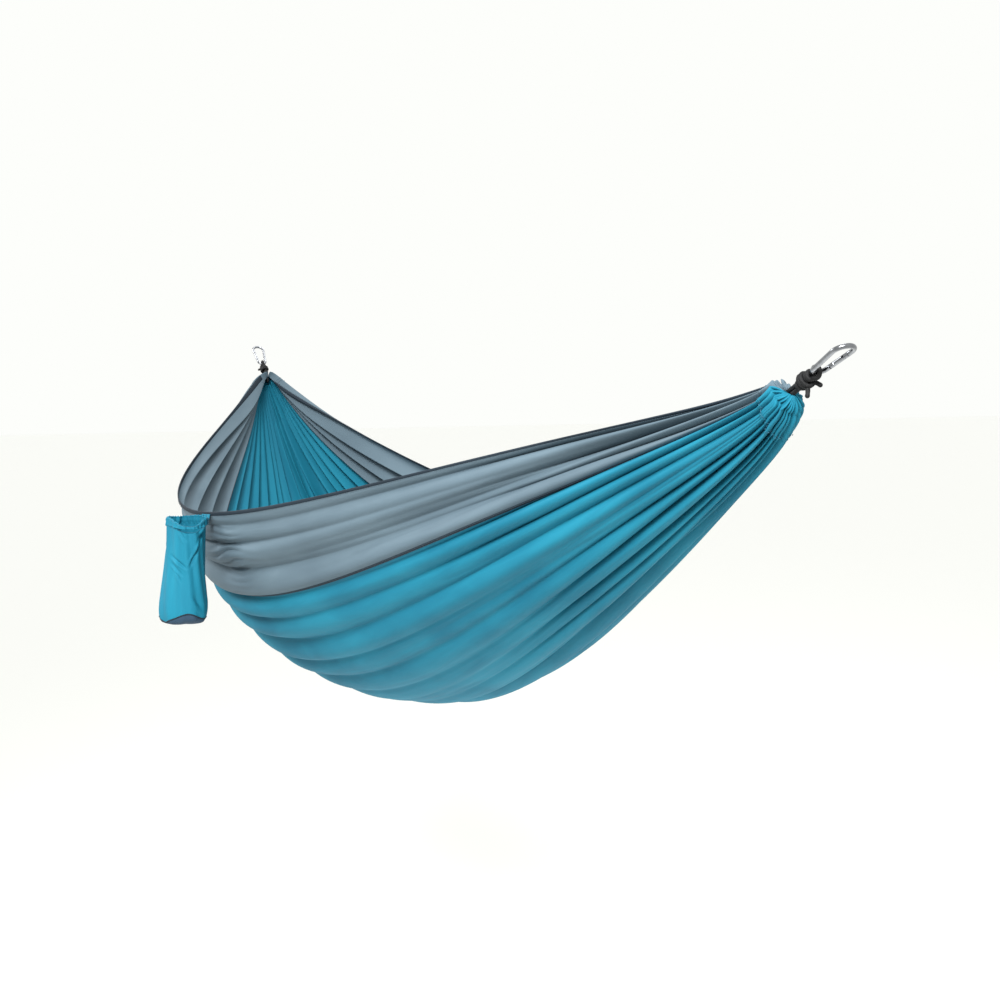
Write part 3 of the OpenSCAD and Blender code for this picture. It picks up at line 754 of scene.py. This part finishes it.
def crease(angle, z, start, stop, depth, width):
    """A crease between two places on the sack, each (angle, height): a soft groove with a low roll below
    it."""
    u, v = (angle + np.pi) % (2 * np.pi) - np.pi, z
    a = np.array([start[0] * ROUND_CREASE, start[1]])
    b = np.array([stop[0] * ROUND_CREASE, stop[1]])
    way = b - a
    pu, pv = u * ROUND_CREASE - a[0], v - a[1]
    share = np.clip((pu * way[0] + pv * way[1]) / (way @ way), 0, 1)
    off = np.hypot(pu - share * way[0], pv - share * way[1])
    across = (pu * way[1] - pv * way[0]) / np.linalg.norm(way)
    taper = np.sin(np.pi * np.clip(share * 0.9 + 0.05, 0, 1))
    roll = np.exp(-((across - 1.7 * width) / width) ** 2)
    roll = roll * np.exp(-(np.maximum(off - 2 * width, 0) / width) ** 2)
    return depth * taper * (0.55 * roll - np.exp(-(off / width) ** 2))


SACK_CREASES = [
    ((1.05, -0.024), (0.52, -0.040), 0.0080, 0.0055),
    ((0.85, -0.030), (-0.10, -0.090), 0.0050, 0.0040),
    ((-1.15, -0.070), (-0.25, -0.092), 0.0038, 0.0026),
    ((-1.10, -0.084), (-0.45, -0.104), 0.0032, 0.0024),
    ((-0.85, -0.094), (-0.50, -0.118), 0.0024, 0.0024),
    ((-0.70, -0.022), (-0.30, -0.045), 0.0026, 0.0035),
    ((2.50, -0.050), (3.30, -0.110), 0.0040, 0.0050),
    ((-2.00, -0.060), (-2.90, -0.095), 0.0036, 0.0045),
    ((0.10, -0.140), (0.75, -0.172), 0.0030, 0.0060),
]


def sack_skin(angle, z, lift=0.0):
    """The sack's cloth: an oval that grows towards the base, hung from its back edge, with soft folds
    down from the gathers of the mouth, creases across it, and a fuller lower half."""
    grow = 1 - MOUTH_TAPER * (1 + z / SACK_H)
    low = np.clip(-z / SACK_H, 0, 1)
    wave = 0.0016 * np.sin(7 * angle + 5 * z / SACK_H + 0.4) * (1 - low)
    wave = wave + 0.0011 * np.sin(11 * angle + 1.3 - 9 * low)
    slack = -0.0022 * np.cos(2 * angle) * np.sin(np.pi * low)
    push = wave + slack + sum(crease(angle, z, *c) for c in SACK_CREASES) + lift
    round_off = 1 - 0.08 * np.clip((low - 0.84) / 0.13, 0, 1) ** 2
    x = (SACK_L / 2 * grow * round_off - 0.0012 + push) * np.cos(angle)
    half = SACK_D / 2 * grow * (1 - 0.11 * np.sin(np.pi * np.clip(low * 1.25, 0, 1))) * round_off
    y = -SACK_D / 2 * grow + (half - 0.0012 + push) * np.sin(angle)
    return SACK + np.stack([x, np.minimum(y, 0.001), z + 0 * angle], -1)


def round_angles(count):
    return np.linspace(-np.pi, np.pi, count, endpoint=False)[None, :]


def make_sack():
    """The stuff sack in its sewn parts: body, doubled mouth hem, base, binding, stitches and bar
    tacks."""
    angle = round_angles(220)
    down = np.linspace(0, 1, 110)[:, None]
    top = -MOUTH_H * 0.75 + mouth_dip(angle)
    height = top + (base_line(angle) - top) * down
    uv = np.stack([ROUND_SACK * (angle + 0 * down), height], -1)
    body = grid_piece("sack_body_cloth", sack_skin(angle, height), uv, round_cols=True)
    give_wall(body, 0.0005)
    finish_piece(body, "sack", TURQUOISE, "turquoise_nylon", "sack_body")

    turn = np.linspace(0, 2 * np.pi, 26, endpoint=False)[:, None]
    up = np.sign(np.sin(turn)) * abs(np.sin(turn)) ** 0.45
    ruffle = 0.0008 * np.sin(23 * angle + 1.5 * np.sin(3 * angle))
    height = -MOUTH_H / 2 + MOUTH_H / 2 * up + mouth_dip(angle) * (0.6 + 0.4 * up) - abs(ruffle) * (1 + up)
    thick = -0.0002 + 0.0014 * np.cos(turn) + ruffle + 0.0007 * np.sin(2 * np.pi * (up + 1) * 0.9)
    hem = grid_piece("sack_mouth_band", sack_skin(angle, height, thick),
                     np.stack([ROUND_SACK * (angle + 0 * turn), height], -1),
                     round_rows=True, round_cols=True, flip=True)
    finish_piece(hem, "sack", TURQUOISE, "turquoise_nylon", "sack_mouth_hem")

    roll = np.linspace(0, np.pi / 2 * 0.985, 34)[:, None]
    edge = sack_skin(angle, base_line(angle) + 0 * roll, -0.0006)
    middle = SACK + np.array([0.0, -SACK_D / 2, -SACK_H + 0.0012])
    shrink = np.cos(roll)[..., None] ** 0.6
    points = middle + (edge - middle) * shrink
    drop = np.sin(roll) ** 0.7
    pucker = 0.0006 * np.sin(5 * angle + 2 * roll) * np.sin(2 * roll) ** 2
    points[..., 2] = edge[..., 2] + (middle[2] - edge[..., 2]) * drop + pucker
    uv = points[..., :2] - SACK[:2]
    # An oval as far round as the body, and 5 mm more all round for its seam.
    base = grid_piece("sack_base_cloth", points, uv, round_cols=True, poles=1)
    give_wall(base, 0.0006)
    # The base takes the darker copy of the grey nylon: painted shade on the sack's underside.
    finish_piece(base, "sack", GREY_PAINTED_SHADE, "grey_nylon", "sack_base")

    ring = np.linspace(0, 2 * np.pi, 10, endpoint=False)[:, None]
    line = sack_skin(angle, base_line(angle) + 0.0013 * np.sin(ring), 0.0002 + 0.0009 * np.cos(ring))
    uv = np.stack([ROUND_SACK * (angle + 0 * ring), 0.01 * ring + 0 * angle], -1)
    piping = grid_piece("sack_base_piping", line, uv,
                        round_rows=True, round_cols=True, flip=True)
    finish_piece(piping, "sack", SEAM_TAPE_AND_PAINTED_SHADE, "grey_nylon", "sack_base_binding")

    places = np.linspace(-np.pi, np.pi, 96, endpoint=False)
    rows = []
    for z in (-0.0035, -0.0145):
        height = z + mouth_dip(places) * 0.8
        line = sack_skin(places, height, 0.0016)
        way = unit(np.roll(line, -1, 0) - np.roll(line, 1, 0))
        rows.append((line, way, unit(line - sack_skin(places, height))))
    stitches("sack_mouth_stitches", rows, 0.0030, 0.0006, "sack", THREAD_BLUE)

    rows = []
    for side in (-1, 1):
        n = np.arange(34)
        middle = np.stack([side * 0.3 * SACK_L / 2 + 0.0045 * np.where(n % 2, 0.5, -0.5),
                           np.full(34, 0.0012), -0.003 - 0.00038 * n], -1) + SACK
        way = unit(np.stack([np.full(34, 1.0), np.zeros(34), np.where(n % 2, 0.12, -0.12)], -1))
        rows.append((middle, way, np.tile([0.0, 1.0, 0.0], (34, 1))))
    stitches("sack_bar_tacks", rows, 0.0095, 0.0008, "sack", THREAD_BLUE, "sack_tacks")


make_sack()


def make_flap():
    """A short flap of the sack's cloth, sewn to the hem above and to the back of the mouth below."""
    u = np.linspace(-1, 1, 40)[None, :]
    v = np.linspace(0, 1, 14)[:, None]
    hem = bed(SACK_PLACE - 0.0100 * u, np.full_like(u, -1.0))
    top = hem + np.array([0.0, -0.0020, 0.0012])
    low = SACK + np.stack([0.022 * u, np.full_like(u, 0.0008), np.full_like(u, -0.012)], -1)
    points = top + (low - top) * v[..., None]
    points[..., 1] += 0.0010 * np.sin(9 * u) * np.sin(np.pi * v)
    flap = grid_piece("sack_flap", points, np.stack([0.022 * u + 0 * v, 0.014 * v + 0 * u], -1))
    give_wall(flap, 0.0006)
    flap.data.materials.append(TURQUOISE)
    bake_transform(flap)


make_flap()

# ---------------------------------------------------------------- hardware

for label in ("head", "foot"):
    for part, material in (("carabiner_frame", NICKEL), ("gate", NICKEL), ("hinge_pin", PIN_STEEL),
                           ("latch_pin", PIN_STEEL), ("gate_spring", PIN_STEEL)):
        node = bpy.data.objects[f"{label}_{part}"]
        node.data.materials.clear()
        node.data.materials.append(material)
